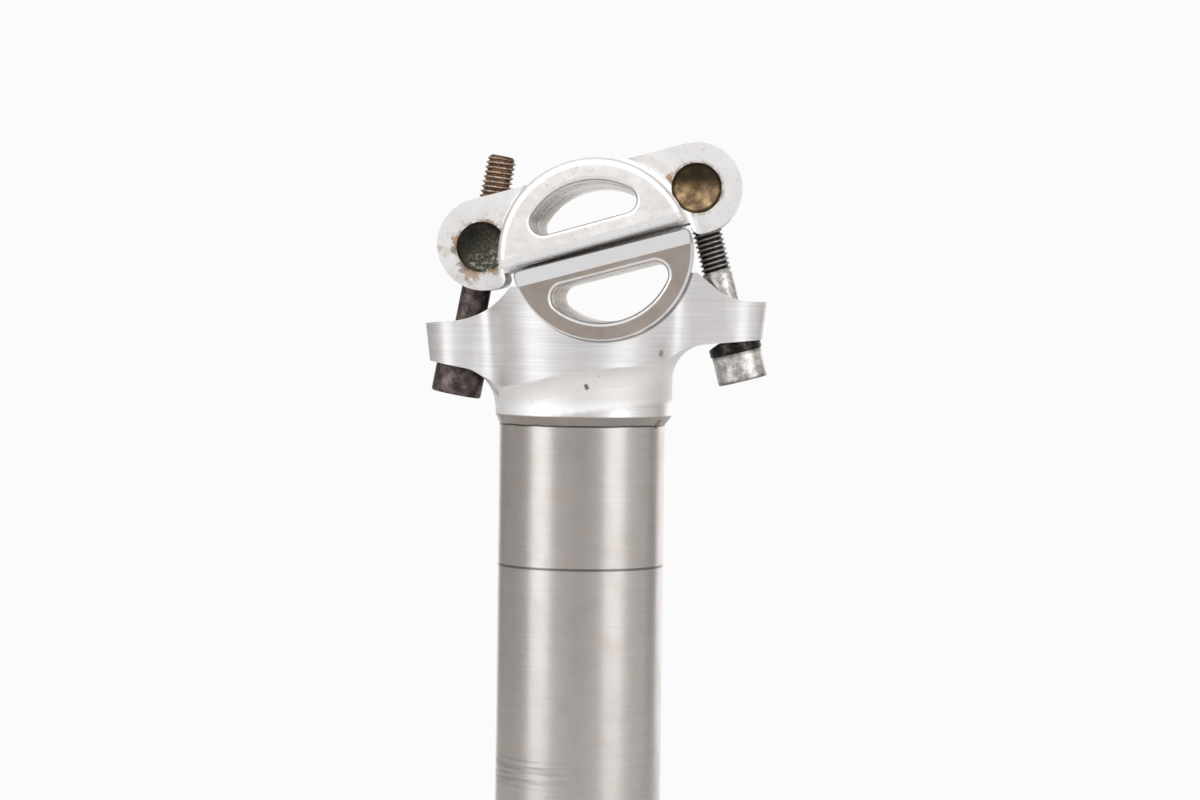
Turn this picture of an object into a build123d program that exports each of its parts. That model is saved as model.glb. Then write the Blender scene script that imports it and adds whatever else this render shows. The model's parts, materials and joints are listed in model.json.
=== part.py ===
from build123d import *
import os
from math import atan2, cos, degrees, hypot, radians, sin, sqrt

# A bicycle seatpost with a two-bolt head. The post is one forging, turned below and milled above.
# A half-round cradle lies in a trough across its head, a bridge-shaped clamp closes over it, and two
# long screws from below pull the clamp down through barrel nuts. The two screws set the saddle's tilt.
#
# Millimetres. +Z runs up the post, +X to the rear of the bicycle, +Y to its right-hand side.
# The origin is the centre of the post's bottom end. Heights in the head are above its shoulder.

# Shaft
post_diameter = 27.2
post_wall = 2.1
shaft_length = 303.0
bottom_chamfer = 0.4
bore_above_shoulder = 2.0
bore_end_radius = 6.0
ring_below_shoulder = 23.1
ring_depth = 0.15
ring_width = 0.5

# Neck and the sloped flange that carries the ears
neck_diameter = 29.0
neck_shift = 0.25
shoulder_height = 1.5
neck_plain_height = 4.0
flange_knee_x = -0.8
flange_knee_height = 11.5
flange_front_slope = 0.153
flange_rear_slope = 0.0895
flange_knee_radius = 60.0
flange_fillet = 6.0

# Milled outline of the head, seen from above at the height where it is measured
outline_height = 13.0
outline_radius = 16.0
waist_radius = 5.0
ear_radius = 6.4
front_ear_reach = 25.6
rear_ear_reach = 29.6
outline_draft = 7.0

# Ears and the horns beside the trough
front_ear_thickness = 7.25
front_ear_slope = 0.085
front_under_slope = -0.18
front_under_height = 9.4
front_under_fillet = 5.6
front_under_skin = 0.15
rear_ear_thickness = 6.4
horn_sweep = 10.0
rear_horn_angle = 39.0
rear_horn_radius = 10.0
front_horn_drop = 6.0
rear_horn_drop = 3.3
front_horn_land = 1.8
rear_horn_land = 1.0

# Cradle
cradle_offset = 3.6
cradle_height = 28.3
cradle_radius = 14.35
cradle_fit = 0.08
clamp_angle = 15.0
clamp_width = 53.0
cradle_face_lean = 2.0
cradle_bevel_height = 2.55
cradle_bevel_depth = 1.0
cradle_rim = 0.25
cradle_corner = 1.0
screw_relief = 0.35

# Upper clamp
upper_shift = -1.0
upper_drop = 0.63
upper_opening = 1.0
upper_radius = 15.3
upper_sole = 1.36
upper_face_lean = 4.0
upper_bevel_height = 1.6
upper_bevel_depth = 0.8
upper_edge_round = 1.3
upper_corner = 1.2
upper_foot_fillet = 1.5
nut_spacing = 36.2
nut_height = 6.54
front_lug_radius = 7.5
front_lug_shift = 0.36
rear_lug_radius = 7.4
lug_width = 14.0
lug_inset = 2.5
lug_corner = 1.5

# Saddle rails
rail_diameter = 7.0
rail_spacing = 43.0
rail_height = 0.35

# Windows through the cradle and the clamp
lower_window_radius = 11.5
lower_window_chord = 3.85
upper_window_radius = 11.75
upper_window_chord = 5.05
window_corner = 2.1
window_mouth = 0.6
window_step_depth = 0.3
window_step_width = 1.0
window_step_pitch = 7.5
window_steps = 5

# Screws, washers and nuts
screw_diameter = 4.85
screw_length = 35.0
thread_diameter = 4.5
thread_length = 22.0
tip_chamfer = 0.6
screw_head_diameter = 8.2
screw_head_height = 4.85
screw_head_edge = 0.4
screw_head_clearance = 0.02
socket_width = 4.0
socket_depth = 2.6
washer_diameter = 8.6
washer_hole = 5.5
washer_thickness = 2.3
washer_seat_radius = 9.0
washer_fit = 0.05
washer_side_gap = 0.65
front_seat_x = -21.2
rear_seat_x = 26.8
front_seat_depth = 2.42
rear_seat_depth = 0.68
head_slot_width = 5.8
head_slot_play = 1.2
nut_diameter = 8.1
nut_fit = 0.05
nut_length = 11.6
nut_hole = 5.3
nut_dish_depth = 1.0
nut_dish_rim = 0.5
clamp_slot_width = 5.6
clamp_slot_play = 2.0

# How far the clamp tilts from the place it is drawn in
tilt_nose_down = 4.5
tilt_nose_up = 12.0

post_radius = post_diameter / 2
neck_radius = neck_diameter / 2
half_width = clamp_width / 2
far = 60.0


def side_face(*edges):
    """A face in the bicycle's own plane, from edges drawn in (X, Z)."""
    return Plane.XZ * make_face(Curve() + list(edges))


def side_prism(face, width):
    """That face made into a body of the given width across the bicycle."""
    return extrude(face, amount=width / 2, both=True)


def cross_bar(radius, width, x=0.0, z=0.0):
    """A round bar across the bicycle."""
    return Pos(x, 0, z) * Rot(90, 0, 0) * Cylinder(radius, width)


# Places. A frame carries what is drawn in it, with its own X along the rails and Z square to them.
head_frame = Pos(0, 0, shaft_length)
cradle_frame = head_frame * Pos(cradle_offset, 0, cradle_height) * Rot(0, -clamp_angle, 0)
upper_frame = cradle_frame * Pos(upper_shift, 0, -upper_drop) * Rot(0, -upper_opening, 0)


def flange_at(x):
    """Height of the flange's underside, which rises less steeply behind its knee."""
    slope = flange_front_slope if x < flange_knee_x else flange_rear_slope
    return flange_knee_height + slope * (x - flange_knee_x)


def front_under_at(x):
    """Height of the front ear's underside, which slopes the other way."""
    return front_under_height + front_under_slope * (x - front_seat_x)


def nut_place(side):
    """Centre of a barrel nut: side is -1 at the front and 1 at the rear."""
    return (upper_frame * Pos(side * nut_spacing / 2, 0, nut_height)).position


def seat_place(side):
    """Centre that a washer rocks about, below its ear."""
    if side < 0:
        x, under, depth = front_seat_x, front_under_at(front_seat_x), front_seat_depth
    else:
        x, under, depth = rear_seat_x, flange_at(rear_seat_x), rear_seat_depth
    return Vector(x, 0, shaft_length + under + depth - washer_seat_radius)


def lean(low, high):
    """How far the line from one place up to another leans to the rear, in degrees."""
    return degrees(atan2(high.X - low.X, high.Z - low.Z))


def screw_lean(side):
    """How far a screw leans to the rear, in degrees."""
    return lean(seat_place(side), nut_place(side))


def seat_seen(side, tilt):
    """Where the centre of a washer's seat is to the clamp, once the clamp has tilted its nose up."""
    turn = Location(cradle_frame.position)
    return (turn * Rot(0, -tilt, 0) * turn.inverse() * Location(seat_place(side))).position


def screw_frame(side):
    """Frame of a screw: its origin is under the head, where it bears, and Z runs to the tip."""
    bearing = washer_seat_radius - washer_fit - washer_thickness
    return Location(seat_place(side)) * Rot(0, screw_lean(side), 0) * Pos(0, 0, bearing)


def head_outline(height):
    """The milled outline at a height: a round middle, two waists and two round-nosed ears.

    The walls lean out upwards, so the outline grows evenly with the height."""
    grow = (height - outline_height) * sin(radians(outline_draft)) / cos(radians(outline_draft))
    middle = outline_radius + grow
    waist = waist_radius - grow
    ear = ear_radius + grow
    waist_x = sqrt((middle + waist) ** 2 - (ear + waist) ** 2)
    front_x = -(front_ear_reach - ear_radius)
    rear_x = rear_ear_reach - ear_radius
    touch_x = waist_x * middle / (middle + waist)
    touch_y = (ear + waist) * middle / (middle + waist)
    edges = []
    for hand in (1, -1):
        turn = [
            Line((rear_x, hand * ear), (waist_x, hand * ear)),
            RadiusArc((waist_x, hand * ear), (touch_x, hand * touch_y), hand * waist),
            ThreePointArc((touch_x, hand * touch_y), (0, hand * middle), (-touch_x, hand * touch_y)),
            RadiusArc((-touch_x, hand * touch_y), (-waist_x, hand * ear), hand * waist),
            Line((-waist_x, hand * ear), (front_x, hand * ear)),
        ]
        edges += turn
    edges.append(ThreePointArc((rear_x, ear), (rear_x + ear, 0), (rear_x, -ear)))
    edges.append(ThreePointArc((front_x, ear), (front_x - ear, 0), (front_x, -ear)))
    return Pos(0, 0, height) * make_face(Curve() + edges)


def milled_prism(low, high):
    """Everything inside the milled outline between two heights."""
    return loft([head_outline(low), head_outline(high)], ruled=True)


def forged_flange():
    """The neck, running with a fillet into a wide sloping flange that bends softly at its knee."""
    bend = (atan2(flange_front_slope, 1.0) - atan2(flange_rear_slope, 1.0)) / 2
    reach = flange_knee_radius * sin(bend) / cos(bend)
    front_end = (flange_knee_x - reach, flange_at(flange_knee_x - reach))
    rear_end = (flange_knee_x + reach, flange_at(flange_knee_x + reach))
    slab = side_prism(
        side_face(
            Line((-far, flange_at(-far)), front_end),
            TangentArc(front_end, rear_end, tangent=(1.0, flange_front_slope)),
            Line(rear_end, (far, flange_at(far))),
            Line((far, flange_at(far)), (far, far)),
            Line((far, far), (-far, far)),
            Line((-far, far), (-far, flange_at(-far))),
        ),
        2 * far,
    )
    body = slab + Pos(neck_shift, 0, 0) * Cylinder(neck_radius, 2 * cradle_height)
    lowest, highest = flange_at(-neck_radius) - 1, flange_at(neck_radius) + 1
    ring = [
        edge
        for edge in body.edges()
        if lowest < edge.center().Z < highest
        and hypot(edge.center().X - neck_shift, edge.center().Y) < neck_radius + 0.01
    ]
    return fillet(ring, flange_fillet)


def under_front_ear():
    """What is cut away below the front ear, down to a thin skin round the neck."""
    root = neck_shift - neck_radius - front_under_skin
    turn = radians(90) + atan2(front_under_slope, 1.0)
    reach = front_under_fillet * sin(turn / 2) / cos(turn / 2)
    slope_length = hypot(1.0, front_under_slope)
    corner = front_under_at(root)
    on_slope = (root - reach / slope_length, corner - reach * front_under_slope / slope_length)
    on_neck = (root, corner - reach)
    return side_prism(
        side_face(
            Line((-far, front_under_at(-far)), on_slope),
            TangentArc(on_slope, on_neck, tangent=(1.0, front_under_slope)),
            Line(on_neck, (root, shoulder_height - 1)),
            Line((root, shoulder_height - 1), (-far, shoulder_height - 1)),
            Line((-far, shoulder_height - 1), (-far, front_under_at(-far))),
        ),
        2 * far,
    )


def below_the_top():
    """Everything below the tops of the ears and horns, seen from the side."""
    front_top = front_under_at(front_seat_x) + front_ear_thickness
    rear_top = flange_at(rear_seat_x) + rear_ear_thickness
    front_tip = cradle_height - front_horn_drop
    rear_tip = cradle_height - rear_horn_drop
    trough = cradle_radius + cradle_fit
    front_edge = cradle_offset - sqrt(trough**2 - front_horn_drop**2)
    front_crest = (front_edge - front_horn_land, front_tip)
    rear_edge = cradle_offset + sqrt(trough**2 - rear_horn_drop**2)
    front_foot = (front_crest[0] - horn_sweep, front_top)
    rear_crest = (rear_edge + rear_horn_land, rear_tip)
    angle = radians(rear_horn_angle)
    foot_rise = rear_horn_radius * (1 - cos(angle))
    straight = (rear_tip - rear_top - foot_rise) / sin(angle)
    rear_bend = (rear_crest[0] + straight * cos(angle), rear_top + foot_rise)
    rear_foot = (rear_bend[0] + rear_horn_radius * sin(angle), rear_top)
    front_end = (-far, front_top - front_ear_slope * (far + front_foot[0]))
    return side_prism(
        side_face(
            Line(front_end, front_foot),
            TangentArc(front_foot, front_crest, tangent=(1.0, front_ear_slope)),
            Line(front_crest, (front_edge, front_tip)),
            Line((front_edge, front_tip), (rear_edge, rear_tip)),
            Line((rear_edge, rear_tip), rear_crest),
            Line(rear_crest, rear_bend),
            TangentArc(rear_bend, rear_foot, tangent=(cos(angle), -sin(angle))),
            Line(rear_foot, (far, rear_top)),
            Line((far, rear_top), (far, 0)),
            Line((far, 0), (-far, 0)),
            Line((-far, 0), front_end),
        ),
        2 * far,
    )


def screw_passage(side):
    """What a screw and its washer need cut out of an ear: a slot, and a round hollow below it."""
    seat = seat_place(side)
    middle = (screw_frame(side) * Pos(0, 0, washer_thickness / 2)).position
    plan = Cylinder(washer_diameter / 2 + washer_side_gap, 2 * washer_seat_radius)
    hollow = cross_bar(washer_seat_radius, far, seat.X, seat.Z)
    hollow = hollow & Pos(middle.X, 0, middle.Z) * plan
    slot_long = head_slot_width + head_slot_play
    slot = extrude(SlotOverall(slot_long, head_slot_width), amount=far / 2)
    return hollow + screw_frame(side) * slot


def post():
    """Shaft, neck and head, made in one piece."""
    shaft = Cylinder(post_radius, shaft_length, align=(Align.CENTER, Align.CENTER, Align.MIN))
    shaft = chamfer(shaft.edges().sort_by(Axis.Z)[0], bottom_chamfer)
    shoulder = loft(
        [Circle(post_radius), Pos(neck_shift, 0, shoulder_height) * Circle(neck_radius)], ruled=True
    )
    neck = Pos(neck_shift, 0, shoulder_height) * Cylinder(
        neck_radius, neck_plain_height, align=(Align.CENTER, Align.CENTER, Align.MIN)
    )
    head = forged_flange() - under_front_ear()
    head = head & milled_prism(shoulder_height, cradle_height) & below_the_top()
    head -= cross_bar(cradle_radius + cradle_fit, 2 * far, cradle_offset, cradle_height)
    body = shaft + head_frame * (shoulder + neck + head)
    for side in (-1, 1):
        body -= screw_passage(side)
    bore_radius = post_radius - post_wall
    bore = Cylinder(
        bore_radius,
        shaft_length + bore_above_shoulder,
        align=(Align.CENTER, Align.CENTER, Align.MIN),
    )
    bore = fillet(bore.edges().sort_by(Axis.Z)[-1], bore_end_radius)
    groove_z = shaft_length - ring_below_shoulder
    groove = Polygon(
        (post_radius - ring_depth, 0),
        (post_radius + ring_depth, ring_width),
        (post_radius + ring_depth, -ring_width),
        align=None,
    )
    groove = revolve(Pos(0, 0, groove_z) * Plane.XZ * groove, Axis.Z)
    return body - bore - groove


def window(radius, chord, side, depth, wider=0.0):
    """A D-shaped opening: the inside of an arc, cut off straight near the rails."""
    disc = Circle(radius + wider)
    edge = chord - wider
    keep = Pos(0, side * (edge + far / 2)) * Rectangle(2 * far, far)
    shape = fillet((disc & keep).vertices(), window_corner + wider)
    return extrude(Plane.XZ * shape, amount=depth / 2, both=True)


def open_window(body, radius, chord, side):
    """The body with a window through its whole width, rounded mouths and shallow rings inside."""
    body -= window(radius, chord, side, 2 * far)
    mouths = [
        edge
        for edge in body.edges()
        if abs(edge.center().Y) > 0.9 * half_width
        and hypot(edge.center().X, edge.center().Z) < radius + window_mouth
        and side * edge.center().Z > chord - window_mouth
    ]
    body = fillet(mouths, window_mouth)
    ring = window(radius, chord, side, window_step_width, window_step_depth)
    for count in range(window_steps):
        body -= Pos(0, (count - (window_steps - 1) / 2) * window_step_pitch, 0) * ring
    return body


def rail_grooves(height):
    """Two grooves for the saddle's rails."""
    rails = Part()
    for hand in (1, -1):
        place = Pos(0, hand * rail_spacing / 2, height) * Rot(0, 90, 0)
        rails += place * Cylinder(rail_diameter / 2, 2 * far)
    return rails


def end_trim(lean, edge, bevel_height, bevel_depth, up):
    """What is trimmed off both ends: a leaning face, and a bevel beside the parting."""
    trim = Part()
    lip = half_width - bevel_depth
    tilt = sin(radians(lean)) / cos(radians(lean))
    for hand in (1, -1):
        corner = Plane.YZ * make_face(
            Polyline(
                (hand * lip, edge - up * bevel_height),
                (hand * lip, edge),
                (hand * half_width, edge + up * bevel_height),
                (hand * (half_width - tilt * far), edge + up * (bevel_height + far)),
                (hand * far, edge + up * (bevel_height + far)),
                (hand * far, edge - up * bevel_height),
                close=True,
            )
        )
        trim += extrude(corner, amount=far, both=True)
    return trim


def round_corners(body, height, radius):
    """The body with its two long corners rounded, where the flat parting meets the round wall."""
    corners = [
        edge
        for edge in body.edges()
        if abs(edge.center().Z - height) < 0.01 and abs(edge.center().Y) < 0.01
    ]
    return fillet(corners, radius)


def rim_edges(body):
    """The edges between a round wall and its leaning end faces."""
    return [edge for edge in body.edges() if edge.geom_type == GeomType.ELLIPSE]


def rear_scallop():
    """What the rear screw needs cut out of the cradle's edge when the nose is right down."""
    seat = seat_seen(1, -tilt_nose_down)
    reach = Cylinder(
        screw_diameter / 2 + screw_relief, far, align=(Align.CENTER, Align.CENTER, Align.MIN)
    )
    return Location(seat) * Rot(0, lean(seat, nut_place(1)), 0) * reach


def lower_cradle():
    """A half-round bar with flat top, rail grooves and a window through it."""
    keep = side_prism(side_face(*Rectangle(2 * far, far).edges()), clamp_width)
    body = cross_bar(cradle_radius, clamp_width) & Pos(0, 0, -far / 2) * keep
    body = round_corners(body, 0.0, cradle_corner)
    body -= end_trim(cradle_face_lean, 0.0, cradle_bevel_height, cradle_bevel_depth, -1)
    body = chamfer(rim_edges(body), cradle_rim)
    body = open_window(body, lower_window_radius, lower_window_chord, -1)
    return cradle_frame * (body - rail_grooves(rail_height)) - rear_scallop()


def clamp_slots():
    """Slots in the clamp's lugs that let the screws swing as the clamp tilts."""
    slots = Part()
    half = clamp_slot_width / 2
    for side in (-1, 1):
        nut = nut_place(side)
        turn = clamp_angle + upper_opening
        low, high = sorted(
            lean(seat_seen(side, tilt), nut) + turn for tilt in (-tilt_nose_down, tilt_nose_up)
        )
        swing = ((low - clamp_slot_play, -half), (high + clamp_slot_play, half))
        for end in (1, -1):
            points = []
            for angle, edge in swing:
                way = Vector(sin(radians(angle)), cos(radians(angle))) * end
                across = Vector(way.Y, -way.X) * edge
                points.append((across, across + way * far))
            (near_low, far_low), (near_high, far_high) = points
            fan = make_face(Polyline(near_low, far_low, far_high, near_high, close=True))
            place = Pos(side * nut_spacing / 2, 0, nut_height)
            slots += place * extrude(Plane.XZ * fan, amount=half, both=True)
    return slots


def lug_circle(side):
    """Middle and radius of a lug's round end."""
    shift = front_lug_shift if side < 0 else 0.0
    radius = front_lug_radius if side < 0 else rear_lug_radius
    return side * nut_spacing / 2 + shift, nut_height + shift, radius


def lug_face(side):
    """Side of a lug: round outside the nut, straight towards the middle, with a rounded corner."""
    x, z, radius = lug_circle(side)
    inner = side * (nut_spacing / 2 - lug_inset)
    web = Pos((x + inner) / 2, z) * Rectangle(abs(x - inner), 2 * radius)
    outside = Pos(inner + side * far / 2, z) * Rectangle(far, far)
    face = (Pos(x, z) * Circle(radius) + web) & outside
    corner = face.vertices().sort_by(lambda vertex: side * vertex.X + vertex.Y)[0]
    return Plane.XZ * fillet(corner, lug_corner)


def bridge(width):
    """The narrow part of the clamp, with a lug at each end."""
    front_x, front_z, front_radius = lug_circle(-1)
    rear_x, rear_z, rear_radius = lug_circle(1)
    middle = Polygon(
        (front_x, upper_sole),
        (rear_x, upper_sole),
        (rear_x, rear_z + rear_radius),
        (front_x, front_z + front_radius),
        align=None,
    )
    body = side_prism(Plane.XZ * middle, width)
    for side in (-1, 1):
        body += side_prism(lug_face(side), width)
    return body


def foot_fillets():
    """Hollow fillets where the wall of the half-round plate rises from the sides of the bridge."""
    side, wall = lug_width / 2, upper_radius
    out = upper_foot_fillet
    corner = (wall - out / 2, side - out / 2)
    section = make_face(
        Curve()
        + [
            Line(corner, (wall + out, side - out / 2)),
            Line((wall + out, side - out / 2), (wall + out, side)),
            RadiusArc((wall + out, side), (wall, side + out), -out),
            Line((wall, side + out), (wall - out / 2, side + out)),
            Line((wall - out / 2, side + out), corner),
        ]
    )
    ring = revolve(section, Axis.Y)
    return (ring + mirror(ring, Plane.XZ)) & bridge(lug_width + 2 * out)


def saddle_plate():
    """The clamp's half-round middle: leaning end faces with rounded rims, bevelled at the parting."""
    keep = Pos(0, 0, upper_sole + far / 2) * Box(2 * far, clamp_width, far)
    plate = round_corners(cross_bar(upper_radius, clamp_width) & keep, upper_sole, upper_corner)
    plate -= end_trim(upper_face_lean, upper_sole, upper_bevel_height, upper_bevel_depth, 1)
    plate = fillet(rim_edges(plate), upper_edge_round)
    return open_window(plate, upper_window_radius, upper_window_chord, 1)


def upper_clamp():
    """The half-round plate and the bridge in one piece, with all its openings."""
    body = saddle_plate() + bridge(lug_width) + foot_fillets()
    body -= window(upper_window_radius, upper_window_chord, 1, lug_width + 2 * upper_foot_fillet)
    for side in (-1, 1):
        bore = nut_diameter / 2 + nut_fit
        width = lug_width + 2 * upper_foot_fillet
        body -= cross_bar(bore, width, side * nut_spacing / 2, nut_height)
    body -= clamp_slots()
    lift = Pos(-upper_shift, 0, upper_drop + rail_height)
    rails = Rot(0, upper_opening, 0) * lift * rail_grooves(0.0)
    return upper_frame * (body - rails)


def washer(side):
    """Round in plan, flat below and rounded across above, to rock in its seat."""
    disc = Cylinder(
        washer_diameter / 2, washer_seat_radius, align=(Align.CENTER, Align.CENTER, Align.MIN)
    )
    crown = washer_seat_radius - washer_fit
    body = disc & cross_bar(crown, 2 * washer_diameter, 0, -(crown - washer_thickness))
    body -= Cylinder(washer_hole / 2, far)
    return screw_frame(side) * body


def screw(side):
    """A socket head cap screw, plain where its thread is cut."""
    clear = screw_head_clearance
    head = Pos(0, 0, -clear) * Cylinder(
        screw_head_diameter / 2, screw_head_height, align=(Align.CENTER, Align.CENTER, Align.MAX)
    )
    head = fillet(head.edges().sort_by(Axis.Z)[0], screw_head_edge)
    socket = extrude(
        RegularPolygon(socket_width / 2, 6, major_radius=False), amount=socket_depth
    )
    head -= Pos(0, 0, -clear - screw_head_height) * socket
    plain = screw_length - thread_length
    shank = Pos(0, 0, -clear) * Cylinder(
        screw_diameter / 2, plain + clear, align=(Align.CENTER, Align.CENTER, Align.MIN)
    )
    thread = Pos(0, 0, plain) * Cylinder(
        thread_diameter / 2, thread_length, align=(Align.CENTER, Align.CENTER, Align.MIN)
    )
    thread = chamfer(thread.edges().sort_by(Axis.Z)[-1], tip_chamfer)
    return screw_frame(side) * (head + shank + thread)


def barrel_nut(side):
    """A short bar across the clamp's ear, with a cross hole for the screw and dished ends."""
    place = Location(nut_place(side)) * Rot(0, screw_lean(side), 0)
    body = cross_bar(nut_diameter / 2, nut_length)
    rim = nut_diameter / 2 - nut_dish_rim
    ball = (rim**2 + nut_dish_depth**2) / (2 * nut_dish_depth)
    for hand in (1, -1):
        body -= Pos(0, hand * (nut_length / 2 - nut_dish_depth + ball), 0) * Sphere(ball)
    body -= Cylinder(nut_hole / 2, far)
    return place * body


nodes = {
    "post": post(),
    "lower_cradle": lower_cradle(),
    "upper_clamp": upper_clamp(),
    "front_nut": barrel_nut(-1),
    "rear_nut": barrel_nut(1),
    "front_washer": washer(-1),
    "rear_washer": washer(1),
    "front_bolt": screw(-1),
    "rear_bolt": screw(1),
}

os.makedirs("parts", exist_ok=True)
for name, solid in nodes.items():
    export_step(solid, f"parts/{name}.step")

for side, end in ((-1, "front"), (1, "rear")):
    seat, nut, bearing = seat_place(side), nut_place(side), screw_frame(side).position
    print(end, "seat", seat, "nut", nut, "bearing", bearing, "lean", round(screw_lean(side), 3))
print("cradle axis", cradle_frame.position)
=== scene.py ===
# %% [markdown]
# # A bicycle seatpost with a two-bolt head
#
# The solids come from the CAD model: a one-piece post, a half-round cradle, a bridge-shaped clamp,
# two barrel nuts, two curved washers and two long screws. This lesson dresses them: it cuts real
# threads on the screws and gives every part the finish that it has after years of use.

import json
from math import cos, pi, radians, sin, tan

import bpy
import numpy as np
from mathutils import Matrix, Vector


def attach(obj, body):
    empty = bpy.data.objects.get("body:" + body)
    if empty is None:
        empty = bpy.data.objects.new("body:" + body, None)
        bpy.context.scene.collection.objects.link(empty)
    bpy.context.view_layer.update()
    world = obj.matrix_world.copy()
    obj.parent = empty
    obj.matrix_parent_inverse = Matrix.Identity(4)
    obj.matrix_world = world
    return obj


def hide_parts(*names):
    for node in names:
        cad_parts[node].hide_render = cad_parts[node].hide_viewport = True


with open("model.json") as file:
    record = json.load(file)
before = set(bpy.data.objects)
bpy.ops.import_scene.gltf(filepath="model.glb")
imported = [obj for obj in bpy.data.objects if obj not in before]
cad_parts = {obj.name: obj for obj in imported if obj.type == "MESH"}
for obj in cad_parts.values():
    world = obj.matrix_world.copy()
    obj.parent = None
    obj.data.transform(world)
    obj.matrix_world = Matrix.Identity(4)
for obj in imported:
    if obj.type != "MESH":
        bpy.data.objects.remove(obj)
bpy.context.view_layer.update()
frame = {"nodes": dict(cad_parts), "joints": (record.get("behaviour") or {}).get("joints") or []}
joints = {joint["name"]: joint for joint in frame["joints"]}
print("CAD nodes:", sorted(frame["nodes"]))

# %% [markdown]
# ## A small language for shaders
#
# A finish is a formula: how brown the metal is here, how rough it is there. Blender writes such a
# formula as a web of nodes. A class that wraps one socket and overloads + - * / lets it be written as
# ordinary arithmetic, and each operator adds its Math nodes to the web.

# %% A socket that arithmetic works on
class Value:
    """A number that changes over the surface."""

    def __init__(self, web, socket):
        self.web = web
        self.socket = socket

    def math(self, operation, *others):
        """The Math node for this operation, with this value as its first number."""
        entries = dict(enumerate((self, *others)))
        node = self.web.node("ShaderNodeMath", {"operation": operation}, entries)
        return Value(self.web, node.outputs[0])

    def __add__(self, other):
        return self.math("ADD", other)

    def __sub__(self, other):
        return self.math("SUBTRACT", other)

    def __mul__(self, other):
        return self.math("MULTIPLY", other)

    def __truediv__(self, other):
        return self.math("DIVIDE", other)

    def __rsub__(self, other):
        return (self * -1) + other

    __radd__ = __add__
    __rmul__ = __mul__

    def over(self, low, high):
        """0 below low, 1 above high, and a smooth S between them; low may be the larger one."""
        if low > high:
            return 1 - self.over(high, low)
        node = self.web.node(
            "ShaderNodeMapRange",
            {"interpolation_type": "SMOOTHSTEP"},
            {"Value": self, "From Min": low, "From Max": high},
        )
        return Value(self.web, node.outputs["Result"])

    def between(self, low, high, soft):
        """1 from low to high, 0 outside, with soft edges of that width."""
        return self.over(low - soft, low + soft) * self.over(high + soft, high - soft)


# %% A web of nodes
# The places of a Mix node's sockets when it mixes colours
MIX_SHARE, MIX_FIRST, MIX_SECOND, MIX_RESULT = 0, 6, 7, 2


class Web:
    """A tree of shader nodes that starts empty, with one method that adds any node to it."""

    def __init__(self, tree):
        self.tree = tree
        self.tree.nodes.clear()

    def feed(self, entry, value):
        """Links a value or socket to an input, or sets the input to a plain number or colour."""
        if isinstance(value, Value):
            value = value.socket
        if isinstance(value, bpy.types.NodeSocket):
            self.tree.links.new(value, entry)
        elif isinstance(value, tuple) and len(value) == 3 and entry.type == "RGBA":
            entry.default_value = (*value, 1.0)
        else:
            entry.default_value = value

    def node(self, kind, settings=None, entries=None):
        """Any node: its settings are set first, then the values or links of its sockets."""
        node = self.tree.nodes.new(kind)
        for name, value in (settings or {}).items():
            setattr(node, name, value)
        for name, value in (entries or {}).items():
            self.feed(node.inputs[name], value)
        return node

    def mix(self, first, second, share):
        """The first colour where share is 0, the second where it is 1."""
        settings = {"data_type": "RGBA", "blend_type": "MIX", "clamp_factor": True}
        entries = {MIX_SHARE: share, MIX_FIRST: first, MIX_SECOND: second}
        return self.node("ShaderNodeMix", settings, entries).outputs[MIX_RESULT]


# %% A finish: one material, with its formulas in millimetres
# Millimetres in a metre
MM = 1000.0


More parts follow.
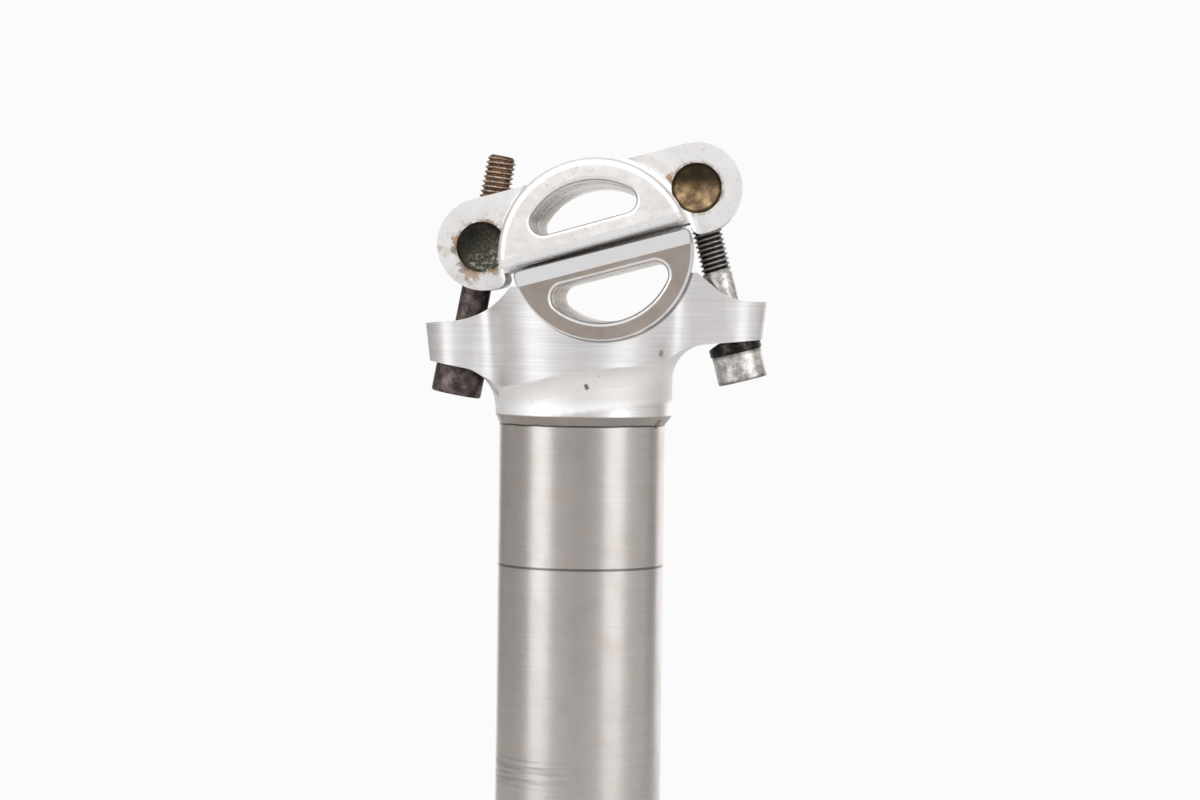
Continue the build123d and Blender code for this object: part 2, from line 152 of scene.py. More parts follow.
class Finish(Web):
    """A material that knows the place and the facing of each point in the part's own frame."""

    def __init__(self, name):
        self.material = bpy.data.materials.new(name)
        self.material.use_nodes = True
        super().__init__(self.material.node_tree)
        coordinates = self.node("ShaderNodeTexCoord")
        self.place = self.scaled(coordinates.outputs["Object"], (MM, MM, MM))
        parts = self.node("ShaderNodeSeparateXYZ", {}, {0: self.place})
        self.x, self.y, self.z = (Value(self, parts.outputs[axis]) for axis in "XYZ")
        facing = self.node("ShaderNodeSeparateXYZ", {}, {0: coordinates.outputs["Normal"]})
        self.facing_up = Value(self, facing.outputs["Z"])
        self.facing_side = Value(self, facing.outputs["Y"]).math("ABSOLUTE")

    def scaled(self, vector, scale):
        """The vector with each of its numbers multiplied."""
        node = self.node("ShaderNodeVectorMath", {"operation": "MULTIPLY"}, {0: vector, 1: scale})
        return node.outputs[0]

    def noise(self, size, detail=2.0, stretch=(1.0, 1.0, 1.0), rough=0.5, shift=0.0):
        """Cloudy noise from 0 to 1. size is one blob in millimetres, longer where stretch is larger.

        A shift moves the pattern, so that two noises of one size differ."""
        scale = tuple(1.0 / (size * s) for s in stretch)
        place = self.scaled(self.place, scale)
        if shift:
            node = self.node("ShaderNodeVectorMath", {"operation": "ADD"}, {0: place, 1: (shift,) * 3})
            place = node.outputs[0]
        entries = {"Vector": place, "Scale": 1.0, "Detail": detail, "Roughness": rough}
        return Value(self, self.node("ShaderNodeTexNoise", {}, entries).outputs[0])

    def distance(self, centre):
        """Distance in millimetres from a point."""
        node = self.node("ShaderNodeVectorMath", {"operation": "DISTANCE"}, {0: self.place, 1: centre})
        return Value(self, node.outputs["Value"])

    def spot(self, centre, size, ragged=0.4):
        """1 at a point and 0 further away than size millimetres, with a ragged edge."""
        away = self.distance(centre) + (self.noise(size * 0.5, 3.0) - 0.5) * (2 * ragged * size)
        return away.over(size, 0.6 * size)

    def from_axis(self, x, z):
        """Distance in millimetres from the line across the bicycle through this X and Z."""
        across = (self.x - x) * (self.x - x) + (self.z - z) * (self.z - z)
        return across.math("SQRT")

    def attribute(self, name):
        """A number stored on the piece's own points."""
        return Value(self, self.node("ShaderNodeAttribute", {"attribute_name": name}).outputs["Fac"])

    def done(self, color, roughness, metallic, height=None):
        """Ends the tree in a Principled shader; height is the surface's relief in millimetres."""
        entries = {"Base Color": color, "Roughness": roughness, "Metallic": metallic}
        if height is not None:
            bump = {"Height": height, "Strength": 1.0, "Distance": 1.0 / MM}
            entries["Normal"] = self.node("ShaderNodeBump", {}, bump).outputs["Normal"]
        shader = self.node("ShaderNodeBsdfPrincipled", {}, entries)
        self.node("ShaderNodeOutputMaterial", {}, {"Surface": shader.outputs["BSDF"]})
        return self.material


# %% [markdown]
# ## Where things are
#
# The record of the CAD model says where each screw bears and which way it points, so the finishes and
# the threads read those places from it and stay with the solids. The height of the shoulder, where
# the turned shaft ends and the neck begins, is written here in millimetres.

# %% Places read from the CAD model
SHOULDER = 303.0


def point_mm(joint):
    """A joint's point in millimetres."""
    return tuple(MM * v for v in joints[joint]["pos_m"])


def screw_matrix(end):
    """From a screw's own frame (origin under its head, Z to its tip) to the part's frame."""
    joint = joints[end + "_bolt_turn"]
    axis = Vector(joint["axis"]).normalized()
    turn = Vector((0, 0, 1)).rotation_difference(axis).to_matrix().to_4x4()
    return Matrix.Translation(joint["pos_m"]) @ turn


nut_at = {end: point_mm(end + "_nut_turn") for end in ("front", "rear")}
cradle_at = point_mm("clamp_tilt")
print("nuts at", nut_at, "cradle axis at", cradle_at)

# %% [markdown]
# ## Screws with a real thread
#
# The solids leave the thread plain, because thousands of small faces are of no use to a simulation.
# Here each screw is turned again as one surface round its axis. Its radius is a function of the angle
# round the axis and the distance along it: a six-sided socket, a head with rounded edges, a smooth
# shank and a thread. A thread is a triangle wave wound up the axis: one turn moves it by one pitch.

# %% A closed surface from a grid of points
def closed_skin(name, points, attributes):
    """A mesh from rows of points: each row is a ring, and the first and last row end in a pole.

    An attribute has one number for each point, and a pole takes the mean of its ring."""
    rows, columns, _ = points.shape
    ring = np.arange(columns)
    after = (ring + 1) % columns
    row = np.arange(rows - 1)[:, None] * columns
    quads = np.stack([row + ring, row + after, row + columns + after, row + columns + ring], -1)
    start, end = rows * columns, rows * columns + 1
    last = (rows - 1) * columns
    caps = np.concatenate(
        [
            np.stack([after, ring, np.full(columns, start)], -1),
            np.stack([last + ring, last + after, np.full(columns, end)], -1),
        ]
    )
    poles = np.stack([points[0].mean(0), points[-1].mean(0)])
    vertices = np.concatenate([points.reshape(-1, 3), poles])
    mesh = bpy.data.meshes.new(name)
    mesh.from_pydata(vertices.tolist(), [], quads.reshape(-1, 4).tolist() + caps.tolist())
    mesh.update()
    for label, values in attributes.items():
        ends = np.array([values[0].mean(), values[-1].mean()])
        flat = np.concatenate([values.reshape(-1), ends]).astype(np.float32)
        mesh.attributes.new(label, "FLOAT", "POINT").data.foreach_set("value", flat)
    mesh.shade_smooth()
    piece = bpy.data.objects.new(name, mesh)
    bpy.context.scene.collection.objects.link(piece)
    return piece


# %% The thread: sizes in millimetres, and its formula
SCREW_LENGTH, THREAD_LENGTH = 35.0, 22.0
PLAIN_LENGTH = SCREW_LENGTH - THREAD_LENGTH
PITCH = 0.8
CREST_RADIUS, ROOT_RADIUS = 2.47, 2.02
# The height of a sharp thread of 60 degrees, and how much of it is cut off at the crest
SHARP_DEPTH, CREST_CUT = 0.866 * PITCH, 0.1
TURN = 2 * pi


def thread_radius(along, angle, phase):
    """A triangle wave over one pitch, wound round the axis and cut off at the crest and the root."""
    wave = (along / PITCH - angle / TURN + phase) % 1.0
    flank = SHARP_DEPTH * (1.0 - np.abs(2.0 * wave - 1.0))
    sharp_root = CREST_RADIUS + CREST_CUT - SHARP_DEPTH
    return np.clip(sharp_root + flank, ROOT_RADIUS, CREST_RADIUS)


print("thread:", round(THREAD_LENGTH / PITCH, 1), "turns over", THREAD_LENGTH, "mm")

# %% The head with its socket
HEAD_RADIUS, HEAD_HEIGHT, HEAD_EDGE = 4.1, 4.85, 0.4
SHANK_RADIUS = 2.425
SOCKET_WIDTH, SOCKET_DEPTH, MOUTH_RADIUS = 4.0, 2.6, 2.45
# The gap between the head and the washer that it bears on
HEAD_CLEARANCE = 0.02


def head_rings(angle):
    """The radius and the way along of each ring from the socket's floor over the head to the shank.

    The socket has six sides: its radius is half its width over the cosine of the angle from the
    middle of the nearest side. The edge of the head's end face is a quarter of a circle."""
    sixth = (angle + pi / 6) % (pi / 3) - pi / 6
    hexagon = SOCKET_WIDTH / 2 / np.cos(sixth)
    level = 0 * angle
    bottom = -HEAD_CLEARANCE - HEAD_HEIGHT
    floor = bottom + SOCKET_DEPTH
    socket = [
        (0.02 * hexagon, floor + 0.5),
        (0.9 * hexagon, floor + 0.05),
        (hexagon, floor),
        (hexagon, bottom + 0.18),
        (hexagon + 0.05, bottom + 0.09),
        (np.maximum(hexagon + 0.15, MOUTH_RADIUS), bottom),
    ]
    rounded = [(HEAD_RADIUS - HEAD_EDGE - 0.06 + level, bottom)]
    for step in np.linspace(0, pi / 2, 7):
        radius = HEAD_RADIUS - HEAD_EDGE + HEAD_EDGE * sin(step)
        rounded.append((radius + level, bottom + HEAD_EDGE * (1 - cos(step))))
    side = [
        (HEAD_RADIUS + level, bottom + HEAD_EDGE + 0.06),
        (HEAD_RADIUS + level, -HEAD_CLEARANCE - 0.2),
        (HEAD_RADIUS - 0.03 + level, -HEAD_CLEARANCE - 0.08),
        (HEAD_RADIUS - 0.12 + level, -HEAD_CLEARANCE),
    ]
    fillet = [
        (SHANK_RADIUS + 0.25 + level, -HEAD_CLEARANCE),
        (SHANK_RADIUS + 0.07 + level, -HEAD_CLEARANCE + 0.07),
        (SHANK_RADIUS + level, -HEAD_CLEARANCE + 0.25),
    ]
    return socket + rounded + side + fillet


# %% The whole screw
COLUMNS, RINGS_A_PITCH, SHANK_RINGS = 72, 12, 12
# The tip is a blunt cone: its radius at the very end, and how fast it widens
TIP_RADIUS, TIP_SLOPE = ROOT_RADIUS - 0.25, 0.9
# The rings of its flat end, as shares of that radius
TIP_RINGS = (0.9, 0.5, 0.02)


def screw_points(phase):
    """Rings of points from the socket's floor over the head and the shank to the tip.

    Returns the points, how far up the thread's flank each is (0 root, 1 crest), and the way along."""
    angle = TURN * np.arange(COLUMNS) / COLUMNS
    shank = np.linspace(1.0, PLAIN_LENGTH - 0.1, SHANK_RINGS)
    rings = head_rings(angle) + [(SHANK_RADIUS + 0 * angle, way) for way in shank]
    radius = np.array([r for r, _ in rings])
    way = np.array([w for _, w in rings])[:, None] + 0 * radius
    steps = 1 + int(RINGS_A_PITCH * THREAD_LENGTH / PITCH)
    along = np.linspace(PLAIN_LENGTH, SCREW_LENGTH, steps)[:, None] + 0 * angle
    cut = thread_radius(along, angle, phase)
    start = np.clip((along - PLAIN_LENGTH) / PITCH, 0, 1)
    cut = start * cut + (1 - start) * SHANK_RADIUS
    cut = np.minimum(cut, TIP_RADIUS + (SCREW_LENGTH - along) * TIP_SLOPE)
    tip = np.array(TIP_RINGS)[:, None] * cut[-1]
    radius = np.concatenate([radius, cut, tip])
    way = np.concatenate([way, along, SCREW_LENGTH + 0 * tip])
    crest = (radius - ROOT_RADIUS) / (CREST_RADIUS - ROOT_RADIUS)
    crest = np.where(way > PLAIN_LENGTH, np.clip(crest, 0, 1), 1.0)
    points = np.stack([radius * np.cos(angle), radius * np.sin(angle), way], -1)
    return points, crest, way


def make_screw(end, phase):
    """One screw in its place in the part, standing for the plain one."""
    points, crest, way = screw_points(phase)
    matrix = np.array(screw_matrix(end))
    placed = points / MM @ matrix[:3, :3].T + matrix[:3, 3]
    piece = closed_skin(end + "_screw", placed, {"crest": crest, "way": way})
    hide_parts(end + "_bolt")
    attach(piece, end + "_bolt_body")
    print(piece.name, "has", len(piece.data.polygons), "faces")
    return piece


front_screw = make_screw("front", 0.0)
rear_screw = make_screw("rear", 0.3)

# %% [markdown]
# ## The finish of the post
#
# The shaft was turned, so fine rings run round it and spread the light upwards and downwards. The
# neck was only blasted after forging and stays white and dull. The band of the head was milled. One
# material holds all three, and the height on the part says where each of them begins. The rings are
# noise that is stretched forty to sixty times across the post, so that no two rings are alike.

# %% Post: where its surfaces begin, in millimetres, with heights from the shoulder
# The outline of the head: its radius at this height, and the draft that narrows it downwards
OUTLINE_RADIUS, OUTLINE_HEIGHT, OUTLINE_DRAFT = 16.0, 13.0, 7.0
CHAMFER_HEIGHT = 1.5
# Everything that doesn't look down is milled from here up
MILLED_HEIGHT = 12.0
# The dark line round the shaft, and the scuffed patch further down
RING_HEIGHT = -23.1
SCUFF_LOW, SCUFF_HIGH = -59.0, -54.0
TROUGH_RADIUS = 14.43

# %% Post: its colours and marks
TURNED_DARK, TURNED_LIGHT = (0.46, 0.44, 0.425), (0.64, 0.62, 0.61)
TURNED_STAIN, TURNED_DULL = (0.50, 0.455, 0.42), (0.47, 0.46, 0.44)
BLASTED_DARK, BLASTED_LIGHT = (0.88, 0.90, 0.92), (0.97, 0.985, 1.0)
MILLED_DARK, MILLED_LIGHT = (0.62, 0.62, 0.625), (0.94, 0.95, 0.96)
# The chamfer's dark grey-brown is painted shade: it looks down at darker surroundings
CHAMFER_SHADE_DARK, CHAMFER_SHADE_LIGHT = (0.24, 0.215, 0.195), (0.40, 0.37, 0.345)
NECK_SHADE, NECK_SPECK = (0.50, 0.45, 0.41), (0.40, 0.33, 0.27)
RING_DIRT, SCUFF_GREY, SEAT_SHADE_AND_DIRT = (0.08, 0.07, 0.06), (0.17, 0.16, 0.15), (0.10, 0.08, 0.06)
BROWN_DIRT, BLACK_DIRT = (0.16, 0.10, 0.045), (0.035, 0.03, 0.025)
# Each mark: X, Y and height from the shoulder, then its radius and how strong it is
POST_MARKS = {
    "chip in the neck": ((1.3, -14.5, 6.25), 0.42, 0.8),
    "upper end of the chip": ((1.15, -14.5, 6.6), 0.42, 0.8),
    "nick in the band": ((13.3, -9.2, 11.8), 0.8, 0.6),
    "dirt behind the shoulder": ((12.4, -6.0, 0.4), 1.1, 0.9),
    "stain in front of the neck": ((-13.2, -5.3, 5.5), 1.2, 0.4),
    "nick below the shoulder": ((13.3, -3.9, -5.5), 0.4, 0.8),
    "dirt in front of the shoulder": ((-12.9, -6.0, 1.0), 0.7, 0.5),
}


# %% Post: its finish
def post_finish():
    """Grey-brown turned metal below the shoulder, white blasted neck, bright milled sides above.

    The milled sides are the faces at the outline's radius or further out that don't look down."""
    f = Finish("post_alloy")
    height = f.z - SHOULDER
    radius = (f.x * f.x + f.y * f.y).math("SQRT")
    wall = (height - OUTLINE_HEIGHT) * tan(radians(OUTLINE_DRAFT)) + OUTLINE_RADIUS
    outside = (radius - wall).over(-0.25, -0.1)
    above = height.over(CHAMFER_HEIGHT - 0.1, CHAMFER_HEIGHT + 0.2)
    sides = outside.math("MAXIMUM", height.over(MILLED_HEIGHT - 0.2, MILLED_HEIGHT))
    band = sides * f.facing_up.over(-0.5, -0.4) * above
    neck = above * (1 - band)
    chamfer = height.over(-0.1, 0.15) * (1 - above)

    lines = f.noise(0.22, 3.0, (60, 60, 1), 0.7)
    coarse = f.noise(1.6, 2.0, (40, 40, 1), 0.6, 7.0)
    clouds = f.noise(9.0, 4.0, (1, 1, 1.6), 0.6)
    grain = f.noise(0.35, 3.0, rough=0.7)
    stains = f.noise(5.0, 4.0, (1, 1, 1.3), 0.65, 13.0)

    turned = f.mix(TURNED_DARK, TURNED_LIGHT, lines * 0.9 + clouds * 0.6 - 0.25)
    turned = f.mix(turned, TURNED_STAIN, stains.over(0.48, 0.72) * 0.6)
    turned = f.mix(turned, TURNED_DULL, f.noise(3.0, 3.0, shift=15.0).over(0.55, 0.75) * 0.4)
    blasted = f.mix(BLASTED_DARK, BLASTED_LIGHT, grain * 0.7 + clouds * 0.3)
    milled = f.mix(MILLED_DARK, MILLED_LIGHT, lines * 1.1 + coarse * 0.5 - 0.3)
    color = f.mix(f.mix(turned, blasted, neck), milled, band)
    # Painted shade on the downward-facing chamfer
    color = f.mix(color, f.mix(CHAMFER_SHADE_DARK, CHAMFER_SHADE_LIGHT, clouds), chamfer)

    # Painted shade on the neck just under the overhang of the milled band
    shade_under_band = (radius - wall).over(-1.3, -0.3) * neck * height.over(2.5, 5.0)
    edge_line = (height + f.noise(3.0) * 0.3).between(-0.02, 0.28, 0.07)
    ring = height.between(RING_HEIGHT - 0.22, RING_HEIGHT + 0.2, 0.07)
    streaks = f.noise(0.8, 3.0, (18, 18, 1), 0.6, 3.0).over(0.42, 0.66)
    scuff = streaks * height.between(SCUFF_LOW, SCUFF_HIGH, 1.0)
    scuff = scuff * f.x.over(3.0, -9.0) * f.y.over(2.0, -2.0)
    from_cradle = f.from_axis(cradle_at[0], cradle_at[2])
    # Painted contact shadow, with some dirt, where the cradle sits in the trough
    seat_shade_and_dirt = (from_cradle - TROUGH_RADIUS).between(-0.1, 0.35, 0.12) * above
    color = f.mix(color, NECK_SHADE, shade_under_band * 0.4)
    color = f.mix(color, BLACK_DIRT, edge_line * 0.85)
    color = f.mix(color, RING_DIRT, ring * 0.75)
    color = f.mix(color, SCUFF_GREY, scuff * 0.6)
    color = f.mix(color, SEAT_SHADE_AND_DIRT, seat_shade_and_dirt * 0.7)
    for (x, y, up), size, amount in POST_MARKS.values():
        color = f.mix(color, BROWN_DIRT, f.spot((x, y, SHOULDER + up), size) * amount)
    specks = f.noise(1.3, 3.0, rough=0.75, shift=5.0).over(0.66, 0.74) * neck
    color = f.mix(color, NECK_SPECK, specks * 0.5)

    roughness = 0.2 + 0.08 * lines + 0.12 * stains + neck * 0.27 + band * 0.05
    rings = lines * (0.005 + 0.007 * band) + coarse * 0.006 + stains * 0.03 * (1 - band)
    relief = rings * (1 - neck) + grain * neck * 0.03
    return f.done(color, roughness, 1.0 - scuff * 0.3, relief)


def dress(node, material):
    """Gives every material slot of a CAD node this material."""
    for slot in frame["nodes"][node].material_slots:
        slot.material = material
    print(node, "wears", material.name)


dress("post", post_finish())

# %% [markdown]
# ## The windows
#
# A D-shaped window goes right through the cradle and through the clamp. Its walls were milled in
# steps, and years of grime lie on them; a dark line of painted shade and grime runs in the corner
# of each step. Both pieces tilt about one axis, so the distance from that axis and the facing of the
# surface are enough to find those walls.

# %% Grime and painted shade on the stepped walls of the windows
# The walls lie nearer to the axis than this
WINDOW_REACH = 12.3
# Half the width of the pieces across the bicycle, and the width of one step
HALF_WIDTH, STEP_PITCH = 26.5, 7.5
FILM_PALE, FILM_BROWN = (0.84, 0.785, 0.73), (0.50, 0.43, 0.37)
CORNER_SHADE_AND_GRIME = (0.08, 0.055, 0.04)


def window_inside(f):
    """1 on the walls of the windows: near the clamp's axis and not facing the ends."""
    near = f.from_axis(cradle_at[0], cradle_at[2]).over(WINDOW_REACH + 0.3, WINDOW_REACH)
    return near * f.facing_side.over(0.5, 0.3)


def window_grime_and_shade(f, color):
    """Pale brown film on the window's walls, and a dark line of painted shade and grime in the corner of
    each step.
    """
    inside = window_inside(f)
    depth = (HALF_WIDTH - f.y.math("ABSOLUTE")) / STEP_PITCH
    # The dark line in each step's corner is painted shade, with some grime
    corner = (depth.math("FRACT") - 0.5).math("ABSOLUTE").over(0.37, 0.45) * depth.over(0.4, 0.7)
    broken = f.noise(2.5, 4.0, rough=0.7, shift=1.0).over(0.3, 0.55)
    film = f.noise(2.2, 4.0, rough=0.7, shift=6.0).over(0.3, 0.7)
    color = f.mix(color, f.mix(FILM_PALE, FILM_BROWN, film), inside)
    return f.mix(color, CORNER_SHADE_AND_GRIME, corner * broken * inside * 0.9)


# %% [markdown]
# ## The cradle
#
# The cradle is cut from half-round bar. Its ends were faced with a tool that left a brownish satin,
# which is painted darker still as shade, while the back stays brighter and the bevels are painted
# grey as shade. The direction of a surface tells them apart, because the ends look straight across
# the bicycle and the bevels look a little upwards.

# %% Cradle
END_SHADE_DARK, END_SHADE_LIGHT = (0.34, 0.295, 0.26), (0.54, 0.495, 0.46)
BACK_DARK, BACK_LIGHT = (0.70, 0.70, 0.71), (0.84, 0.84, 0.85)
BEVEL_SHADE_GREY, BACK_STAIN = (0.45, 0.455, 0.465), (0.42, 0.37, 0.33)


def cradle_finish():
    """Brown satin darkened by painted shade on the ends, painted grey shade on the bevels, the back and
    the walls of the window.
    """
    f = Finish("cradle_alloy")
    brushed = f.noise(0.3, 3.0, (1, 30, 1), 0.6)
    clouds = f.noise(6.0, 4.0, rough=0.6)
    faced = f.noise(0.25, 3.0, (14, 14, 14), 0.6)
    # The ends' brown satin is darkened with painted shade
    end = f.mix(END_SHADE_DARK, END_SHADE_LIGHT, faced * 0.8 + clouds * 0.8 - 0.3)
    back = f.mix(BACK_DARK, BACK_LIGHT, brushed * 0.5 + clouds * 0.5)
    ends = f.facing_side.over(0.975, 0.995)
    color = f.mix(back, end, ends)
    # The bevels' grey is painted shade
    bevel_shade = f.facing_side.between(0.5, 0.965, 0.01) * f.facing_up.over(0.2, 0.3)
    color = f.mix(color, BEVEL_SHADE_GREY, bevel_shade)
    color = window_grime_and_shade(f, color)
    stain = f.noise(3.0, 4.0, rough=0.7, shift=2.0).over(0.5, 0.75) * (1 - ends)
    color = f.mix(color, BACK_STAIN, stain * 0.3)
    inside = window_inside(f)
    roughness = 0.34 + 0.1 * clouds - inside * 0.12
    return f.done(color, roughness, 1.0 - inside * 0.5, brushed * 0.01)


dress("lower_cradle", cradle_finish())

# %% [markdown]
# ## The upper clamp
#
# The clamp was blasted white. Its faces are dulled by hands, and rust from the screws and nuts has
# run out of its lugs. The rust is ragged noise that is let through near the axis of each nut and on
# the width of the lugs only, so that the wide plate between them stays clean.

# %% Upper clamp
LUG_HALF_WIDTH = 7.0
CLAMP_DARK, CLAMP_LIGHT = (0.74, 0.745, 0.75), (0.93, 0.94, 0.95)
HANDLED_LIGHT, HANDLED_DARK = (0.84, 0.84, 0.84), (0.70, 0.675, 0.65)
CLAMP_SPECK, RIM_BROWN, LUG_STAIN = (0.46, 0.40, 0.34), (0.22, 0.16, 0.11), (0.52, 0.46, 0.36)
RUST_BROWN, RUST_ORANGE = (0.13, 0.065, 0.03), (0.34, 0.17, 0.04)
# How far the rust reaches from the axis of each nut
RUST_REACH = {"front": 5.3, "rear": 4.6}
# Each mark on the lugs' left faces: X and Z, then its radius, how strong it is, and its colour
CLAMP_MARKS = {
    "ahead of the front nut, high": (-20.5, 332.8, 1.0, 0.7, RUST_ORANGE),
    "ahead of the front nut": (-20.9, 331.2, 0.8, 0.6, RUST_BROWN),
    "above the front nut": (-15.6, 335.6, 1.2, 0.5, RUST_ORANGE),
    "below the front nut, ahead": (-19.2, 328.3, 1.2, 0.6, RUST_BROWN),
    "below the front nut": (-17.8, 327.4, 1.6, 0.6, RUST_ORANGE),
    "below the front nut, behind": (-14.2, 327.9, 1.0, 0.6, RUST_ORANGE),
    "tip of the front lug": (-23.2, 331.5, 0.6, 0.4, RUST_ORANGE),
    "ahead of the rear nut": (14.0, 343.3, 0.9, 0.7, RUST_ORANGE),
}


def clamp_finish():
    """White blasted alloy, with rust where the nuts sit and grime in the corners."""
    f = Finish("clamp_alloy")
    grain = f.noise(0.35, 3.0, rough=0.7)
    clouds = f.noise(5.0, 4.0, rough=0.6)
    color = f.mix(CLAMP_DARK, CLAMP_LIGHT, grain * 0.5 + clouds * 0.6)
    from_cradle = f.from_axis(cradle_at[0], cradle_at[2])
    faces = f.facing_side.over(0.97, 0.99) * from_cradle.over(17.5, 16.5)
    handled = f.noise(4.0, 4.0, (1, 1, 0.6), 0.7, 11.0).over(0.35, 0.7)
    color = f.mix(color, f.mix(HANDLED_LIGHT, HANDLED_DARK, handled), faces * 0.8)
    color = window_grime_and_shade(f, color)
    specks = f.noise(0.9, 4.0, rough=0.8, shift=4.0).over(0.56, 0.7)
    color = f.mix(color, CLAMP_SPECK, specks * 0.5)

    lug = f.y.math("ABSOLUTE").over(LUG_HALF_WIDTH + 0.4, LUG_HALF_WIDTH + 0.1)
    rust = 0.0
    for end, reach in RUST_REACH.items():
        x, _, z = nut_at[end]
        near = f.from_axis(x, z)
        rust = rust + lug * near.over(reach, 3.9) * f.noise(0.8, 4.0, rough=0.8).over(0.5, 0.66)
        brown_rim = lug * near.over(4.75, 4.15) * f.noise(0.9, 3.0, shift=9.0).over(0.35, 0.6)
        color = f.mix(color, RIM_BROWN, brown_rim * 0.75)
    x, _, z = nut_at["front"]
    stain = f.noise(2.6, 4.0, rough=0.7, shift=7.0).over(0.5, 0.72)
    stain = lug * stain * f.from_axis(x, z).over(9.0, 4.5)
    color = f.mix(color, LUG_STAIN, stain * 0.5)
    color = f.mix(color, RUST_ORANGE, rust * 0.9)
    for x, z, size, amount, tint in CLAMP_MARKS.values():
        color = f.mix(color, tint, f.spot((x, -LUG_HALF_WIDTH, z), size, 1.2) * amount)

    inside = window_inside(f)
    roughness = 0.42 + 0.1 * clouds - inside * 0.2
    metallic = (1.0 - rust) * (1 - inside * 0.5)
    return f.done(color, roughness, metallic, grain * 0.02 * (1 - inside))


dress("upper_clamp", clamp_finish())

# %% [markdown]
# ## Nuts and washers
#
# Steel and brass in this clamp have aged at different rates. The front nut is full of green-black
# corrosion with pale powder in it, the rear one is still smooth brass, and the washers are black and
# oily. The finish of each nut is laid out from that nut's axis, read from the CAD model.

# %% Front nut
CRUST_DARK, CRUST_LIGHT = (0.012, 0.012, 0.008), (0.10, 0.10, 0.07)
POWDER, NUT_RUST, NUT_SHADE = (0.76, 0.76, 0.64), (0.16, 0.085, 0.04), (0.008, 0.008, 0.006)


def corroded_nut():
    """Green-black crust with pale powder low in the recess."""
    f = Finish("nut_corroded")
    x, _, z = nut_at["front"]
    crust = f.mix(CRUST_DARK, CRUST_LIGHT, f.noise(0.5, 4.0, rough=0.75).over(0.35, 0.7))
    powder = f.noise(0.9, 4.0, rough=0.8, shift=3.0).over(0.48, 0.66)
    low = ((f.x - x) * 0.6 - (f.z - z)).over(-1.0, 3.0)
    color = f.mix(crust, POWDER, powder * (0.05 + 0.95 * low))
    rusty = f.noise(1.2, 3.0, shift=6.0).over(0.55, 0.7)
    color = f.mix(color, NUT_RUST, rusty * 0.4)
    # Darker towards the rim and the upper left: painted shade in the recess
    upper = ((f.z - z) - (f.x - x)).over(0.0, 4.5)
    shade = f.from_axis(x, z).over(2.2, 3.9).math("MAXIMUM", upper)
    color = f.mix(color, NUT_SHADE, shade * (1 - low) * 0.8)
    return f.done(color, 0.6 + 0.2 * powder, 0.35, powder * 0.15)


dress("front_nut", corroded_nut())

# %% Rear nut
BRASS_DARK, BRASS_LIGHT = (0.12, 0.08, 0.05), (0.46, 0.32, 0.17)
BRASS_HIGHLIGHT, TOP_SHADE, RIM_SHADE = (0.75, 0.55, 0.31), (0.03, 0.022, 0.015), (0.05, 0.035, 0.02)
# Painted highlights on the nut's left face: X and Z from its axis, and the radius
NUT_FACE_Y = -6.0
HIGHLIGHT_SPOTS = {"front": (-1.4, -0.5, 1.3), "rear": (1.2, -0.9, 1.5)}


def brass_nut():
    """Brown brass, with painted shade towards the top and round the rim, and two painted golden
    highlights.
    """
    f = Finish("nut_brass")
    x, _, z = nut_at["rear"]
    clouds = f.noise(1.8, 3.0, rough=0.6)
    color = f.mix(BRASS_DARK, BRASS_LIGHT, clouds.over(0.4, 0.75))
    # Two golden spots of painted highlight
    for across, up, size in HIGHLIGHT_SPOTS.values():
        highlight = f.distance((x + across, NUT_FACE_Y, z + up)).over(size, 0.3)
        color = f.mix(color, BRASS_HIGHLIGHT, highlight * 0.6)
    # Painted shade darkens the top of the dished end
    top_shade = ((f.z - z) + (clouds - 0.5) * 1.5).over(-0.3, 1.8)
    color = f.mix(color, TOP_SHADE, top_shade * 0.9)
    # Painted shade round the rim of the recess
    rim_shade = f.from_axis(x, z).over(3.3, 3.95)
    color = f.mix(color, RIM_SHADE, rim_shade * 0.8)
    return f.done(color, 0.28 + 0.12 * clouds, 1.0, clouds * 0.03)


dress("rear_nut", brass_nut())

# %% Washers
OILED_BLACK, OILED_WORN = (0.022, 0.02, 0.018), (0.13, 0.115, 0.10)


def washer_finish():
    """Black oiled steel, worn grey in places."""
    f = Finish("washer_steel")
    wear = f.noise(1.2, 4.0, rough=0.7)
    color = f.mix(OILED_BLACK, OILED_WORN, wear.over(0.45, 0.75))
    return f.done(color, 0.32 + 0.15 * wear, 1.0, wear * 0.03)


washer_steel = washer_finish()
dress("front_washer", washer_steel)
dress("rear_washer", washer_steel)

# %% [markdown]
# ## The finish of the screws
#
# The front screw has worn black oxide and a thread that is brown with rust. The rear one is plated,
# with dark spots and grease in the thread. The screws don't stand upright, so a height on the part
# says little about a place on them. Their finishes read two numbers that each point of the screw
# carries: how far along the screw it lies, and how far up the thread's flank.

# %% Front screw
# The way along at which the plain shank turns into thread
THREAD_START, THREAD_FULL = 12.8, 13.6
OXIDE_DARK, OXIDE_LIGHT = (0.055, 0.042, 0.04), (0.20, 0.165, 0.155)
THREAD_DARK, THREAD_LIGHT = (0.22, 0.14, 0.09), (0.60, 0.52, 0.45)
ROOT_SHADE, ROOT_RUST = (0.10, 0.07, 0.05), (0.30, 0.15, 0.06)


